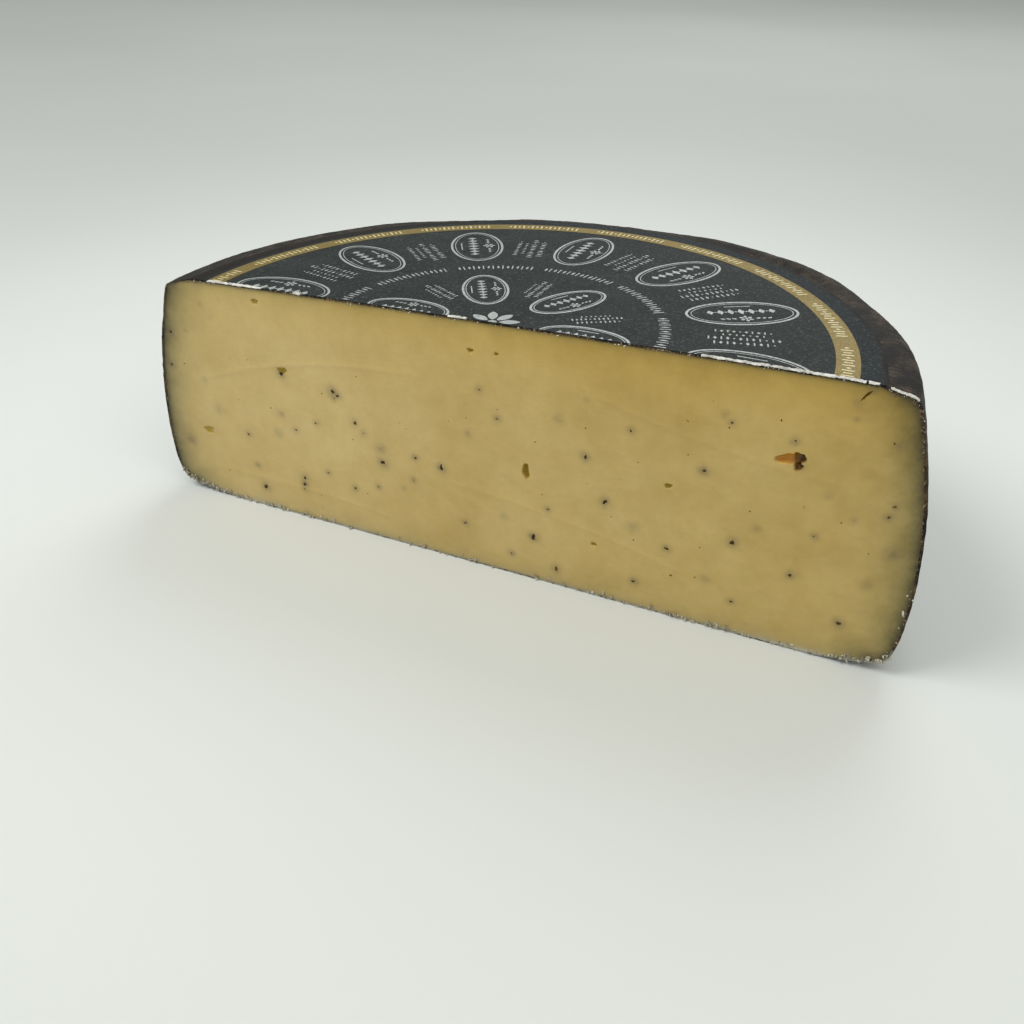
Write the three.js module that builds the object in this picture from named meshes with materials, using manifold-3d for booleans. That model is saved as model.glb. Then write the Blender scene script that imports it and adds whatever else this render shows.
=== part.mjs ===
// Half of a round, semi-hard cheese wheel lying flat, with half of its paper label on top.
// Millimetres, +Z up. The origin is under the middle of the half wheel's bounding box; the flat
// cut face looks along -Y, and the wheel's own axis runs up through the middle of that face.
import * as THREE from "three";
import { mergeVertices } from "three/addons/utils/BufferGeometryUtils.js";
import Module from "manifold-3d";

// The whole wheel
const wheelRadius = 130;      // at its widest ring
const wheelHeight = 88;       // on the axis
const widestHeight = 20;      // height of the widest ring above the underside
const unevenRise = 3.9;       // the wheel is this much thicker at its +X rim than on the axis
const crownDrop = 1.1;        // the top falls this much from the axis to the widest radius
const topShift = 1.1;         // the top sits this far towards -X of the widest ring

// The underside and its rounded heel
const baseMargin = 32;        // width of the ring outside the flat part of the underside
const heelMargin = 4.5;       // from the widest radius in to where the heel turns up
const heelLift = 3.4;         // the underside has lifted this much where the heel turns up
const heelRound = 0.8;        // the heel's rounding turns upright this far above that

// The side and the rounded top edge
const sideTaper = 11.2;       // the side leans in this much from the widest ring to the top edge
const edgeDrop = 5.6;         // the rounding starts this far below the top
const edgeWidth = 5.4;        // and runs this far in over the top
const shoulderDrop = 2.1;     // the bare shoulder ends this far below the top

// The paper label
const labelMargin = 10.8;     // bare rind between the label and the wheel's top edge
const labelThickness = 0.4;
const labelGap = 0.3;         // clearance between the label and the rind

// How finely the round shapes are stepped
const roundSteps = 96;
const curveSteps = 7;
const crownSteps = 6;

const topEdgeRadius = wheelRadius - sideTaper;
const labelRadius = topEdgeRadius - labelMargin;

function crownHeight(radius) {
  return wheelHeight - crownDrop * (radius / wheelRadius) ** 2;
}

// Points along the domed top from one radius to another, lifted off the cheese by a clearance
function crownPoints(fromRadius, toRadius, lift) {
  const points = [];
  for (let i = 0; i <= crownSteps; i++) {
    const radius = THREE.MathUtils.lerp(fromRadius, toRadius, i / crownSteps);
    points.push(new THREE.Vector2(radius, crownHeight(radius) + lift));
  }
  return points;
}

// The wheel's outline from the axis, round the heel and up the side to the bare shoulder
function cheeseProfile() {
  const heelRadius = wheelRadius - heelMargin;
  const baseRadius = wheelRadius - baseMargin;
  const side = new THREE.Path();
  side.moveTo(baseRadius, 0);
  side.quadraticCurveTo((baseRadius + heelRadius) / 2, 0, heelRadius, heelLift);
  side.quadraticCurveTo(wheelRadius, heelLift + heelRound, wheelRadius, widestHeight);
  const edgeHeight = wheelHeight - edgeDrop;
  side.quadraticCurveTo(wheelRadius, (widestHeight + edgeHeight) / 2, topEdgeRadius, edgeHeight);
  side.quadraticCurveTo(topEdgeRadius - edgeWidth / 6, wheelHeight - shoulderDrop * 1.2,
    topEdgeRadius - edgeWidth, wheelHeight - shoulderDrop);
  return [new THREE.Vector2(0, 0), ...side.getPoints(curveSteps), ...crownPoints(labelRadius, 0, 0)];
}

// A thin disc that follows the domed top, from the axis out along its underside and back over it
function labelProfile() {
  return [
    ...crownPoints(0, labelRadius, labelGap),
    ...crownPoints(labelRadius, 0, labelGap + labelThickness),
  ];
}

// Turns an outline round the wheel's axis, slides its top towards -X by the given shift, and
// leans it, so that the wheel is thicker at +X
function turnedShape(profile, shift) {
  const geometry = new THREE.LatheGeometry(profile, roundSteps);
  geometry.rotateX(Math.PI / 2);
  const place = geometry.getAttribute("position");
  for (let i = 0; i < place.count; i++) {
    const z = place.getZ(i);
    const x = place.getX(i) - shift * ((z - widestHeight) / (wheelHeight - widestHeight));
    const slope = unevenRise * (x / wheelRadius);
    place.setXYZ(i, x, place.getY(i), z * (1 + slope / wheelHeight));
  }
  return geometry;
}

const wasm = await Module();
wasm.setup();

function toSolid(geometry) {
  const bare = geometry.clone();
  bare.deleteAttribute("normal");
  bare.deleteAttribute("uv");
  const merged = mergeVertices(bare);
  return new wasm.Manifold(new wasm.Mesh({
    numProp: 3,
    vertProperties: new Float32Array(merged.getAttribute("position").array),
    triVerts: new Uint32Array(merged.getIndex().array),
  }));
}

function toGeometry(solid) {
  const mesh = solid.getMesh();
  const geometry = new THREE.BufferGeometry();
  geometry.setAttribute("position", new THREE.BufferAttribute(mesh.vertProperties, 3));
  geometry.setIndex(new THREE.BufferAttribute(mesh.triVerts, 1));
  geometry.computeVertexNormals();
  return geometry;
}

// The knife went straight down through the axis: the -Y half is taken away
function halved(geometry) {
  const block = new THREE.BoxGeometry(wheelRadius * 3, wheelRadius * 2, wheelHeight * 3);
  block.translate(0, -wheelRadius, 0);
  return toGeometry(toSolid(geometry).subtract(toSolid(block)));
}

function namedMesh(name, geometry, material) {
  const mesh = new THREE.Mesh(geometry, material);
  mesh.name = name;
  return mesh;
}

function buildCheese() {
  const paste = new THREE.MeshStandardMaterial({ color: 0xb89e66, roughness: 0.55, metalness: 0 });
  return namedMesh("cheese", halved(turnedShape(cheeseProfile(), topShift)), paste);
}

function buildPaperLabel() {
  const paper = new THREE.MeshStandardMaterial({ color: 0x383e3e, roughness: 0.6, metalness: 0 });
  return namedMesh("paper_label", halved(turnedShape(labelProfile(), 0)), paper);
}

const halfWheel = new THREE.Group();
halfWheel.add(buildCheese(), buildPaperLabel());
halfWheel.position.y = -wheelRadius / 2;

export default halfWheel;
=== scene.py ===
import math

import bmesh
import bpy
import numpy as np
from mathutils import Matrix, Vector
from mathutils.geometry import delaunay_2d_cdt


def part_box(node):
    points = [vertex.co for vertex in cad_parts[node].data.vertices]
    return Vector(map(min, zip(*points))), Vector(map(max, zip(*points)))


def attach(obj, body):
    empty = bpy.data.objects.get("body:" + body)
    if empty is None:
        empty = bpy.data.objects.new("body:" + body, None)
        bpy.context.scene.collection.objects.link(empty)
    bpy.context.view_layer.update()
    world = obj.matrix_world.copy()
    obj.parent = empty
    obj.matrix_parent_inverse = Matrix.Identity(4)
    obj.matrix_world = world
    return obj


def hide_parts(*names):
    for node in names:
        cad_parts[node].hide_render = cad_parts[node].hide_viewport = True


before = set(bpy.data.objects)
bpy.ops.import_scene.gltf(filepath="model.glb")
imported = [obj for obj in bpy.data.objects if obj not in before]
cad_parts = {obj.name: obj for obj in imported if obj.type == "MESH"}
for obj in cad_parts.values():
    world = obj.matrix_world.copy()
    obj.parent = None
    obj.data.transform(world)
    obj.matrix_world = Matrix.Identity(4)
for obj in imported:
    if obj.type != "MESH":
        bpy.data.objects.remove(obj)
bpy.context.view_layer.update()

mm = 0.001
body = "root"

cheeseLow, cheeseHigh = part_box("cheese")
wheelRadius = (cheeseHigh[0] - cheeseLow[0]) / 2
axisY = cheeseLow[1]  # the wheel's axis stands in the cut face
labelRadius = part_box("paper_label")[1][0]

# the turned outline, as the wheel was pressed
wheelShape = {
    "height": 88 * mm,
    "rise": 3.9 * mm,  # thicker by this much at the +X rim
    "crownDrop": 1.1 * mm,
    "baseMargin": 32 * mm,
    "heelMargin": 4.5 * mm,
    "heelLift": 3.4 * mm,
    "heelRound": 0.8 * mm,
    "widestHeight": 20 * mm,
    "sideTaper": 11.2 * mm,
    "edgeDrop": 5.6 * mm,
    "edgeWidth": 5.4 * mm,
    "shoulderDrop": 2.1 * mm,
    "topShift": 1.1 * mm,  # the top sits this far towards -X of the widest ring
}
leanRate = wheelShape["rise"] / (wheelRadius * wheelShape["height"])
slideRate = wheelShape["topShift"] / (wheelShape["height"] - wheelShape["widestHeight"])


# helpers for shader and geometry node trees


def addNode(tree, kind, inputs=None, **settings):
    node = tree.nodes.new(kind)
    for key, value in settings.items():
        setattr(node, key, value)
    for key, value in (inputs or {}).items():
        socket = node.inputs[key]
        if isinstance(value, bpy.types.NodeSocket):
            tree.links.new(value, socket)
        else:
            socket.default_value = value
    return node


def doMath(tree, operation, first, second=0.0):
    return addNode(tree, "ShaderNodeMath", {0: first, 1: second}, operation=operation).outputs[0]


def times(tree, first, *others):
    for other in others:
        first = doMath(tree, "MULTIPLY", first, other)
    return first


def plus(tree, first, *others):
    for other in others:
        first = doMath(tree, "ADD", first, other)
    return first


def minus(tree, first, second):
    return doMath(tree, "SUBTRACT", first, second)


def doVector(tree, operation, first, second=(0.0, 0.0, 0.0)):
    node = addNode(tree, "ShaderNodeVectorMath", {0: first, 1: second}, operation=operation)
    return node.outputs["Value" if operation == "LENGTH" else 0]


def scaled(tree, vector, scale):
    return addNode(tree, "ShaderNodeVectorMath", {0: vector, "Scale": scale}, operation="SCALE").outputs[0]


def split(tree, vector):
    return addNode(tree, "ShaderNodeSeparateXYZ", {0: vector}).outputs


def join(tree, x=0.0, y=0.0, z=0.0):
    return addNode(tree, "ShaderNodeCombineXYZ", {0: x, 1: y, 2: z}).outputs[0]


def noise(tree, vector, scale, detail=3.0, roughness=0.5):
    values = {"Vector": vector, "Scale": scale, "Detail": detail, "Roughness": roughness}
    return addNode(tree, "ShaderNodeTexNoise", values).outputs[0]


def remap(tree, value, low, high, toLow=0.0, toHigh=1.0, smooth=False):
    values = {"Value": value, "From Min": low, "From Max": high, "To Min": toLow, "To Max": toHigh}
    kind = "SMOOTHSTEP" if smooth else "LINEAR"
    return addNode(tree, "ShaderNodeMapRange", values, interpolation_type=kind).outputs[0]


def floatCurve(tree, value, points):
    node = addNode(tree, "ShaderNodeFloatCurve", {"Value": value})
    curve = node.mapping.curves[0]
    while len(curve.points) < len(points):
        curve.points.new(0.5, 0.5)
    for mark, (along, height) in zip(curve.points, points):
        mark.location = (along, height)
        mark.handle_type = "AUTO_CLAMPED"
    node.mapping.update()
    return node.outputs[0]


def named(tree, name, kind="FLOAT"):
    return addNode(tree, "GeometryNodeInputNamedAttribute", {"Name": name}, data_type=kind).outputs[0]


def setPlace(tree, geometry, **places):
    return addNode(tree, "GeometryNodeSetPosition", {"Geometry": geometry, **places}).outputs[0]


def copyOnto(tree, points, shape, **places):
    values = {"Points": points, "Instance": shape, **places}
    copies = addNode(tree, "GeometryNodeInstanceOnPoints", values)
    return addNode(tree, "GeometryNodeRealizeInstances", {"Geometry": copies.outputs[0]}).outputs[0]


def finishTree(tree, result, geometry, material):
    painted = addNode(tree, "GeometryNodeSetMaterial", {"Geometry": geometry, "Material": material})
    tree.links.new(painted.outputs[0], result[0])
    return tree


def newTree(name, sockets):
    # sockets: name -> (socket type, default)
    tree = bpy.data.node_groups.new(name, "GeometryNodeTree")
    tree.interface.new_socket("Geometry", in_out="INPUT", socket_type="NodeSocketGeometry")
    tree.interface.new_socket("Geometry", in_out="OUTPUT", socket_type="NodeSocketGeometry")
    for key, (kind, default) in sockets.items():
        socket = tree.interface.new_socket(key, in_out="INPUT", socket_type="NodeSocket" + kind)
        if default is not None:
            socket.default_value = default
    start = tree.nodes.new("NodeGroupInput")
    end = tree.nodes.new("NodeGroupOutput")
    return tree, start.outputs, end.inputs


def runTree(piece, tree, values):
    modifier = piece.modifiers.new("build", "NODES")
    modifier.node_group = tree
    for item in tree.interface.items_tree:
        if item.in_out == "INPUT" and item.name in values:
            modifier[item.identifier] = values[item.name]
    ready = piece.evaluated_get(bpy.context.evaluated_depsgraph_get())
    mesh = bpy.data.meshes.new_from_object(ready)
    piece.modifiers.remove(modifier)
    piece.data = mesh


def newPiece(name, mesh=None):
    piece = bpy.data.objects.new(name, mesh or bpy.data.meshes.new(name))
    bpy.context.scene.collection.objects.link(piece)
    return piece


def meshFrom(name, points, edges=(), faces=()):
    mesh = bpy.data.meshes.new(name)
    mesh.from_pydata([tuple(p) for p in points], list(edges), list(faces))
    mesh.update()
    return mesh


def setFloats(mesh, name, values):
    layer = mesh.attributes.new(name, "FLOAT", "POINT")
    layer.data.foreach_set("value", np.asarray(values, dtype=np.float32))


def setVectors(mesh, name, values):
    layer = mesh.attributes.new(name, "FLOAT_VECTOR", "POINT")
    layer.data.foreach_set("vector", np.asarray(values, dtype=np.float32).ravel())


sharpAngle = 42  # degrees, past which an edge stays crisp
mergeReach = 0.002 * mm


def settle(piece, node, smooth=True):
    for face in piece.data.polygons:
        face.use_smooth = smooth
    piece.data.set_sharp_from_angle(angle=math.radians(sharpAngle))
    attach(piece, body)
    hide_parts(node)


# materials


def newMaterial(name):
    material = bpy.data.materials.new(name)
    material.use_nodes = True
    tree = material.node_tree
    tree.nodes.clear()
    shader = addNode(tree, "ShaderNodeBsdfPrincipled")
    end = addNode(tree, "ShaderNodeOutputMaterial")
    tree.links.new(shader.outputs[0], end.inputs["Surface"])
    return material, tree, shader.inputs


def ramp(tree, factor, stops, ease="LINEAR"):
    node = addNode(tree, "ShaderNodeValToRGB", {"Fac": factor})
    node.color_ramp.interpolation = ease
    marks = node.color_ramp.elements
    while len(marks) < len(stops):
        marks.new(0.5)
    for mark, (place, colour) in zip(marks, stops):
        mark.position = place
        mark.color = (*colour, 1.0)
    return node.outputs[0]


def mix(tree, factor, first, second, blend="MIX"):
    node = addNode(tree, "ShaderNodeMix", data_type="RGBA", blend_type=blend)
    for index, value in ((0, factor), (6, first), (7, second)):
        if isinstance(value, bpy.types.NodeSocket):
            tree.links.new(value, node.inputs[index])
        elif index:
            node.inputs[index].default_value = (*value, 1.0)
        else:
            node.inputs[index].default_value = value
    return node.outputs[2]


def bump(tree, height, distance, strength=1.0, under=None):
    node = addNode(tree, "ShaderNodeBump", {"Height": height, "Distance": distance, "Strength": strength})
    if under is not None:
        tree.links.new(under, node.inputs["Normal"])
    return node.outputs[0]


def sRgb(red, green, blue):
    return tuple(((c / 255 + 0.055) / 1.055) ** 2.4 if c > 10 else c / 3294.6 for c in (red, green, blue))


def place(tree):
    return addNode(tree, "ShaderNodeTexCoord").outputs["Object"]


def attribute(tree, name, output="Fac"):
    node = addNode(tree, "ShaderNodeAttribute", attribute_name=name)
    return node.outputs[output]


def tinted(tree, colour, tint, amount):
    # the colour times the tint raised to an amount, channel by channel
    parts = []
    for channel, share in zip(split(tree, colour), tint):
        parts.append(times(tree, channel, doMath(tree, "POWER", share, amount)))
    return join(tree, *parts)


def fade(tree, distance, reach, amount=1.0):
    # the amount at an edge, falling off over the reach
    falling = doMath(tree, "EXPONENT", doMath(tree, "DIVIDE", distance, -reach))
    return times(tree, falling, amount)


pasteLook = {
    "ripe": sRgb(202, 176, 112),
    "pale": sRgb(212, 188, 128),
    "grain": sRgb(180, 150, 84),
    "eye": sRgb(164, 138, 30),
    "amberEye": sRgb(188, 128, 28),
    "deepEye": sRgb(72, 36, 12),
    "deepFrom": 89.0 * mm,  # the amber eyes turn dark past here, towards +X
    "smear": sRgb(84, 78, 66),
    "chalk": sRgb(196, 190, 170),
    "rindward": (0.050, 0.068, 0.066),
    # painted shade: tint that darkens the paste towards +X, a shadow painted into its colour
    "paintedShade": (0.865, 0.83, 0.65),
    # painted glow: tint for light shining through the paste near the top
    "amber": (0.99, 0.89, 0.52),
    "roughness": 0.42,
    # how dark it grows towards each skin: reach in mm and amount
    "sideFade": [(0.8, 0.42), (4.6, 0.53)],
    "topFade": [(0.4, 0.5), (2.6, 0.14)],
    "baseFade": [(0.5, 0.4), (4.5, 0.10)],
}


def chalkAlongBase(tree, base, across, fromBase, mottle):
    # dry chalky bits along the bottom, most at the two ends
    ends = remap(tree, doMath(tree, "ABSOLUTE", across), 76 * mm, 100 * mm, 0.3, 1.0)
    chalk = times(tree, fade(tree, fromBase, 1.3, 1.7), remap(tree, mottle, 0.38, 0.58, 0.15, 1.0))
    return mix(tree, times(tree, chalk, ends), base, pasteLook["chalk"])


def smearsAndEyes(tree, base, where, across):
    look = pasteLook
    ragged = remap(tree, noise(tree, where, 420.0, 4.0, 0.65), 0.3, 0.7, 0.45, 1.35)
    smear = times(tree, attribute(tree, "smear"), ragged)
    base = mix(tree, smear, base, look["smear"])
    deep = remap(tree, across, look["deepFrom"], look["deepFrom"] + 3.0 * mm)
    amber = mix(tree, deep, look["amberEye"], look["deepEye"])
    hollow = mix(tree, attribute(tree, "eyeTone"), look["eye"], amber)
    return mix(tree, attribute(tree, "eye"), base, hollow)


def pasteMaterial():
    look = pasteLook
    material, tree, shader = newMaterial("cutPaste")
    where = place(tree)
    fromSide = attribute(tree, "fromSide")
    fromTop = attribute(tree, "fromTop")
    fromBase = attribute(tree, "fromBase")
    cloudy = noise(tree, where, 22.0, 4.0, 0.55)
    mottle = noise(tree, where, 130.0, 4.0, 0.6)
    uneven = remap(tree, mottle, 0.3, 0.7, 0.82, 1.18)
    base = mix(tree, remap(tree, cloudy, 0.35, 0.65), look["ripe"], look["pale"])
    across = split(tree, where)[0]
    # painted shade: the cut face darker and more olive towards +X, a shadow painted into the colour rather
    # than lit
    paintedShade = remap(tree, across, -75 * mm, 112 * mm)
    base = tinted(tree, base, look["paintedShade"], times(tree, paintedShade, uneven))
    base = tinted(tree, base, (0.93, 0.91, 0.86), remap(tree, mottle, 0.34, 0.66))
    # painted glow: amber tint within about 11 mm of the top, weaker towards -X, standing in for light shining
    # through the paste
    paintedGlow = times(tree, fade(tree, fromTop, 11.0), remap(tree, across, -110 * mm, 20 * mm, 0.2, 1.0))
    base = tinted(tree, base, look["amber"], paintedGlow)
    edge = plus(tree, *[
        plus(tree, *[fade(tree, distance, reach, amount) for reach, amount in look[fades]])
        for distance, fades in ((fromSide, "sideFade"), (fromTop, "topFade"), (fromBase, "baseFade"))
    ])
    base = tinted(tree, base, look["rindward"], times(tree, edge, uneven))
    base = chalkAlongBase(tree, base, across, fromBase, mottle)
    base = smearsAndEyes(tree, base, where, across)
    grain = noise(tree, where, 900.0, 2.0, 0.6)
    base = mix(tree, remap(tree, grain, 0.3, 0.75, 0.0, 0.14), base, look["grain"])
    tree.links.new(base, shader["Base Color"])
    stretched = doVector(tree, "MULTIPLY", where, (60.0, 60.0, 900.0))
    drag = noise(tree, stretched, 1.0, 2.0, 0.5)
    normal = bump(tree, drag, 0.00012, 0.5)
    normal = bump(tree, mottle, 0.0002, 0.25, normal)
    normal = bump(tree, grain, 0.00006, 0.6, normal)
    tree.links.new(normal, shader["Normal"])
    patchy = noise(tree, where, 160.0, 3.0)
    wet = remap(tree, patchy, 0.3, 0.7, look["roughness"] - 0.06, look["roughness"] + 0.12)
    wet = minus(tree, wet, times(tree, attribute(tree, "eyeTone"), 0.12))
    tree.links.new(wet, shader["Roughness"])
    shader["Subsurface Weight"].default_value = 0.22
    shader["Subsurface Radius"].default_value = (1.0, 0.55, 0.2)
    shader["Subsurface Scale"].default_value = 0.0025
    shader["IOR"].default_value = 1.45
    return material


rindLook = {
    "black": sRgb(13, 13, 12),
    "soot": sRgb(31, 31, 29),
    "dust": sRgb(112, 114, 107),
    "umber": sRgb(22, 19, 16),
    "brown": sRgb(46, 38, 31),
    "tan": sRgb(132, 113, 88),
    "cutDark": sRgb(30, 25, 18),
    "cutLight": sRgb(96, 76, 48),
    "chalk": sRgb(168, 163, 148),
    "clothPitch": 1.25,
}


def wornShoulder(tree, colour, where, fibres, blotches):
    # the shoulder, brown where the dye wore off, palest along the corner between side and shoulder
    look = rindLook
    shoulder = attribute(tree, "shoulder")
    cornerPeak = times(tree, shoulder, minus(tree, 1.0, shoulder), 4.0)
    worn = times(tree, remap(tree, fibres, 0.44, 0.66), remap(tree, blotches, 0.43, 0.60))
    worn = times(tree, worn, plus(tree, times(tree, cornerPeak, 0.75), 0.5))
    handled = noise(tree, where, 34.0, 3.0, 0.6)
    worn = times(tree, worn, remap(tree, handled, 0.40, 0.60, 0.18, 1.0))
    brown = mix(tree, remap(tree, blotches, 0.38, 0.64), look["umber"], look["brown"])
    brown = mix(tree, worn, brown, look["tan"])
    ragged = plus(tree, shoulder, times(tree, minus(tree, blotches, 0.5), 0.9))
    return mix(tree, remap(tree, ragged, 0.3, 0.62), colour, brown)


def cutRim(tree, colour, where, height, blotches, grit):
    # the cut rim of the rind, brown, chalky near the bottom
    look = rindLook
    rim = remap(tree, split(tree, where)[1], axisY - 0.03 * mm, axisY + 0.10 * mm, 1.0, 0.0)
    tone = mix(tree, remap(tree, blotches, 0.42, 0.6), look["cutDark"], look["cutLight"])
    low = times(tree, remap(tree, height, 9.0, 2.0), remap(tree, grit, 0.36, 0.5, 0.2, 1.0))
    tone = mix(tree, low, tone, look["chalk"])
    return mix(tree, rim, colour, tone)


def rindMaterial():
    look = rindLook
    material, tree, shader = newMaterial("clothedRind")
    where = place(tree)
    wrap = attribute(tree, "wrap", "Vector")
    wander = scaled(tree, noise(tree, wrap, 0.11, 2.0), 2.6)
    cloth = split(tree, doVector(tree, "ADD", wrap, wander))
    turn = 2 * math.pi / look["clothPitch"]
    warp = doMath(tree, "SINE", times(tree, cloth[0], turn))
    weft = doMath(tree, "SINE", times(tree, cloth[1], turn))
    weave = remap(tree, times(tree, warp, weft), -1.0, 1.0)
    along, height, _ = split(tree, wrap)
    slanted = plus(tree, height, times(tree, along, 0.16))
    streak = noise(tree, join(tree, times(tree, along, 0.05), times(tree, slanted, 0.62)), 1.0, 6.0, 0.66)
    broad = noise(tree, join(tree, times(tree, along, 0.016), times(tree, height, 0.05)), 1.0, 3.0, 0.6)
    patches = noise(tree, where, 46.0, 6.0, 0.66)
    grit = noise(tree, where, 700.0, 3.0, 0.7)
    lowSide = remap(tree, height, 66.0, 12.0, 0.06, 1.0, smooth=True)
    bloom = times(tree, remap(tree, patches, 0.38, 0.62, 0.15, 1.0), lowSide)
    bloom = times(tree, bloom, remap(tree, broad, 0.34, 0.6, 0.25, 1.0))
    threads = times(tree, remap(tree, weave, 0.42, 0.8, 0.22, 1.0), remap(tree, grit, 0.36, 0.62, 0.3, 1.0))
    bloom = times(tree, bloom, threads)
    streaks = times(tree, remap(tree, streak, 0.55, 0.74), remap(tree, patches, 0.45, 0.62, 0.1, 1.0))
    colour = mix(tree, remap(tree, streak, 0.34, 0.68), look["black"], look["soot"])
    colour = mix(tree, bloom, colour, look["dust"])
    colour = mix(tree, times(tree, streaks, 0.34), colour, look["dust"])
    fibreSpot = join(tree, times(tree, along, 0.62), times(tree, height, 0.3))
    fibres = noise(tree, fibreSpot, 1.0, 5.0, 0.68)
    blotches = noise(tree, where, 105.0, 5.0, 0.7)
    colour = wornShoulder(tree, colour, where, fibres, blotches)
    colour = cutRim(tree, colour, where, height, blotches, grit)
    tree.links.new(colour, shader["Base Color"])
    normal = bump(tree, weave, 0.00022, 0.8)
    normal = bump(tree, streak, 0.0009, 0.55, normal)
    normal = bump(tree, grit, 0.00012, 0.6, normal)
    normal = bump(tree, fibres, 0.0003, 0.5, normal)
    tree.links.new(normal, shader["Normal"])
    tree.links.new(remap(tree, bloom, 0.0, 0.7, 0.55, 0.85), shader["Roughness"])
    shader["Specular IOR Level"].default_value = 0.16
    return material


labelLook = {
    "paper": sRgb(31, 36, 34),
    "margin": sRgb(20, 27, 30),
    "speck": sRgb(108, 114, 112),
    "worn": sRgb(34, 30, 27),
    "scuff": sRgb(168, 148, 118),
    "ringOuter": 101.3 * mm,
    "wornFrom": 106.3 * mm,
}


def fromAxis(tree):
    offset = doVector(tree, "ADD", place(tree), (0.0, -axisY, 0.0))
    flat = doVector(tree, "MULTIPLY", offset, (1.0, 1.0, 0.0))
    return doVector(tree, "LENGTH", flat)


def labelMaterial():
    look = labelLook
    material, tree, shader = newMaterial("printedPaper")
    where = place(tree)
    radius = fromAxis(tree)
    edge = look["ringOuter"]
    paper = mix(tree, remap(tree, radius, edge, edge + 0.0005), look["paper"], look["margin"])
    grain = noise(tree, where, 1100.0, 3.0, 0.78)
    cloudy = noise(tree, where, 90.0, 4.0, 0.6)
    paper = mix(tree, remap(tree, grain, 0.54, 0.70, 0.0, 0.46), paper, look["speck"])
    paper = mix(tree, remap(tree, grain, 0.30, 0.46, 0.45, 0.0), paper, (0.004, 0.005, 0.005))
    paper = mix(tree, remap(tree, cloudy, 0.35, 0.75, 0.0, 0.12), paper, look["speck"])
    across = split(tree, where)[0]
    rubbed = plus(tree, radius, times(tree, minus(tree, cloudy, 0.5), 4 * mm))
    rubbed = plus(tree, rubbed, remap(tree, across, -15 * mm, -80 * mm, 0.0, 4.0 * mm))
    paper = mix(tree, remap(tree, rubbed, look["wornFrom"], look["wornFrom"] + 1.6 * mm), paper, look["worn"])
    scuff = noise(tree, where, 260.0, 3.0, 0.75)
    paper = mix(tree, remap(tree, scuff, 0.71, 0.77, 0.0, 0.6), paper, look["scuff"])
    tree.links.new(paper, shader["Base Color"])
    normal = bump(tree, grain, 0.00006, 0.6)
    normal = bump(tree, cloudy, 0.0003, 0.4, normal)
    tree.links.new(normal, shader["Normal"])
    tree.links.new(remap(tree, cloudy, 0.3, 0.7, 0.55, 0.7), shader["Roughness"])
    shader["Specular IOR Level"].default_value = 0.1
    return material


def inkMaterial(name, bright, dull, roughness):
    material, tree, shader = newMaterial(name)
    where = place(tree)
    grain = noise(tree, where, 1500.0, 2.0, 0.7)
    cloudy = noise(tree, where, 120.0, 3.0, 0.6)
    colour = mix(tree, remap(tree, grain, 0.38, 0.66), dull, bright)
    colour = mix(tree, remap(tree, cloudy, 0.35, 0.75, 0.0, 0.4), colour, dull)
    across = split(tree, where)[0]
    colour = mix(tree, remap(tree, across, 70 * mm, -100 * mm, 0.0, 0.7), colour, dull)
    tree.links.new(colour, shader["Base Color"])
    tree.links.new(bump(tree, grain, 0.00004, 0.6), shader["Normal"])
    tree.links.new(remap(tree, cloudy, 0.3, 0.7, roughness - 0.08, roughness + 0.08), shader["Roughness"])
    shader["Specular IOR Level"].default_value = 0.25
    return material


def crumbMaterial(name, light, dark, roughness=0.8):
    material, tree, shader = newMaterial(name)
    where = place(tree)
    spread = noise(tree, where, 420.0, 3.0, 0.6)
    colour = mix(tree, remap(tree, spread, 0.36, 0.62), dark, light)
    tree.links.new(colour, shader["Base Color"])
    tree.links.new(bump(tree, noise(tree, where, 2600.0, 2.0), 0.00008, 0.8), shader["Normal"])
    shader["Roughness"].default_value = roughness
    return material


def fleckMaterial():
    material, tree, shader = newMaterial("truffleFleck")
    where = place(tree)
    tint = attribute(tree, "tint")
    spread = noise(tree, where, 1800.0, 3.0, 0.6)
    dark = mix(tree, remap(tree, spread, 0.35, 0.65), sRgb(38, 30, 18), sRgb(70, 56, 34))
    brown = mix(tree, remap(tree, spread, 0.35, 0.65), sRgb(88, 64, 28), sRgb(128, 98, 48))
    tree.links.new(mix(tree, tint, dark, brown), shader["Base Color"])
    tree.links.new(bump(tree, spread, 0.00008, 0.8), shader["Normal"])
    shader["Roughness"].default_value = 0.62
    shader["Specular IOR Level"].default_value = 0.1
    return material


# the turned outline


def bend(start, middle, end, steps):
    points = []
    for i in range(1, steps + 1):
        t = i / steps
        points.append(tuple(
            (1 - t) ** 2 * a + 2 * t * (1 - t) * b + t * t * c for a, b, c in zip(start, middle, end)
        ))
    return points


def crownHeight(radius):
    return wheelShape["height"] - wheelShape["crownDrop"] * (radius / wheelRadius) ** 2


def lean(x, z):
    # the whole wheel leans: heights grow towards +X
    return z * (1 + leanRate * x)


def skinPoint(x, z):
    x = x - slideRate * (z - wheelShape["widestHeight"])
    return x, lean(x, z)


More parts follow.
